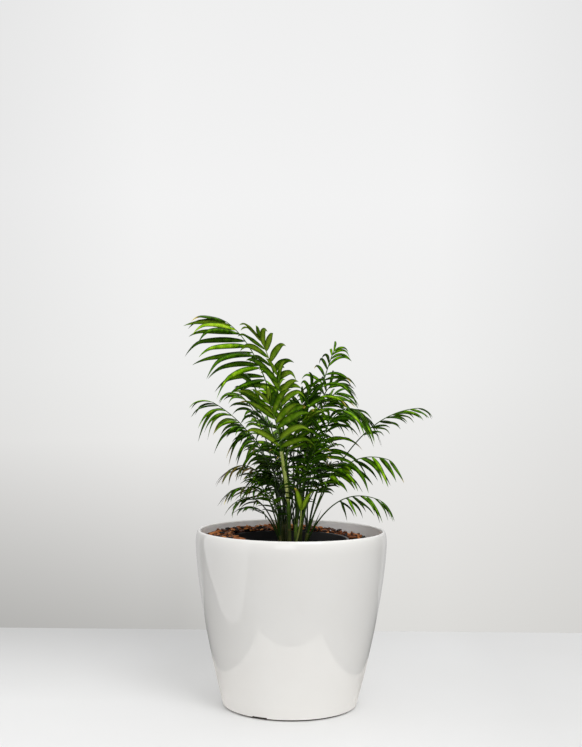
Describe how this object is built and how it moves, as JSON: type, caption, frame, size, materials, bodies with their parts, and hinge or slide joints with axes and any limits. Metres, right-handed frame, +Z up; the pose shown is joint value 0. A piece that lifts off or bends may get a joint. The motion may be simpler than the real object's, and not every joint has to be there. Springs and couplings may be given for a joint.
{
  "type": "potted parlor palm",
  "caption": "Young parlor palms in a black nursery pot, set in bark mulch inside a tall, gloss white round planter that narrows towards its foot.",
  "frame": {"origin": "centre of the planter's foot, on the surface that it stands on", "axes": "+Z up, -Y the front side that the picture shows, +X to the right of the picture"},
  "size_m": [0.461, 0.3512, 0.7061],
  "materials": {
    "planter": "moulded, high gloss, warm white",
    "nursery_pot": "thin moulded black plastic, satin",
    "bark": "shredded pine bark, rough",
    "soil": "dark peat potting mix, rough",
    "palm": "living leaf, satin to glossy green"
  },
  "bodies": {
    "root": {"planter": "planter", "nursery_pot": "nursery_pot", "bark_mulch": "bark", "soil": "soil", "palm_tall_left": "palm", "palm_centre": "palm", "palm_left": "palm", "palm_low_left": "palm", "palm_front_left": "palm", "palm_back_left": "palm", "palm_tall_right": "palm", "palm_back_right": "palm", "palm_right": "palm", "palm_far_right": "palm", "palm_low_right": "palm", "palm_front": "palm"}
  },
  "joints": []
}
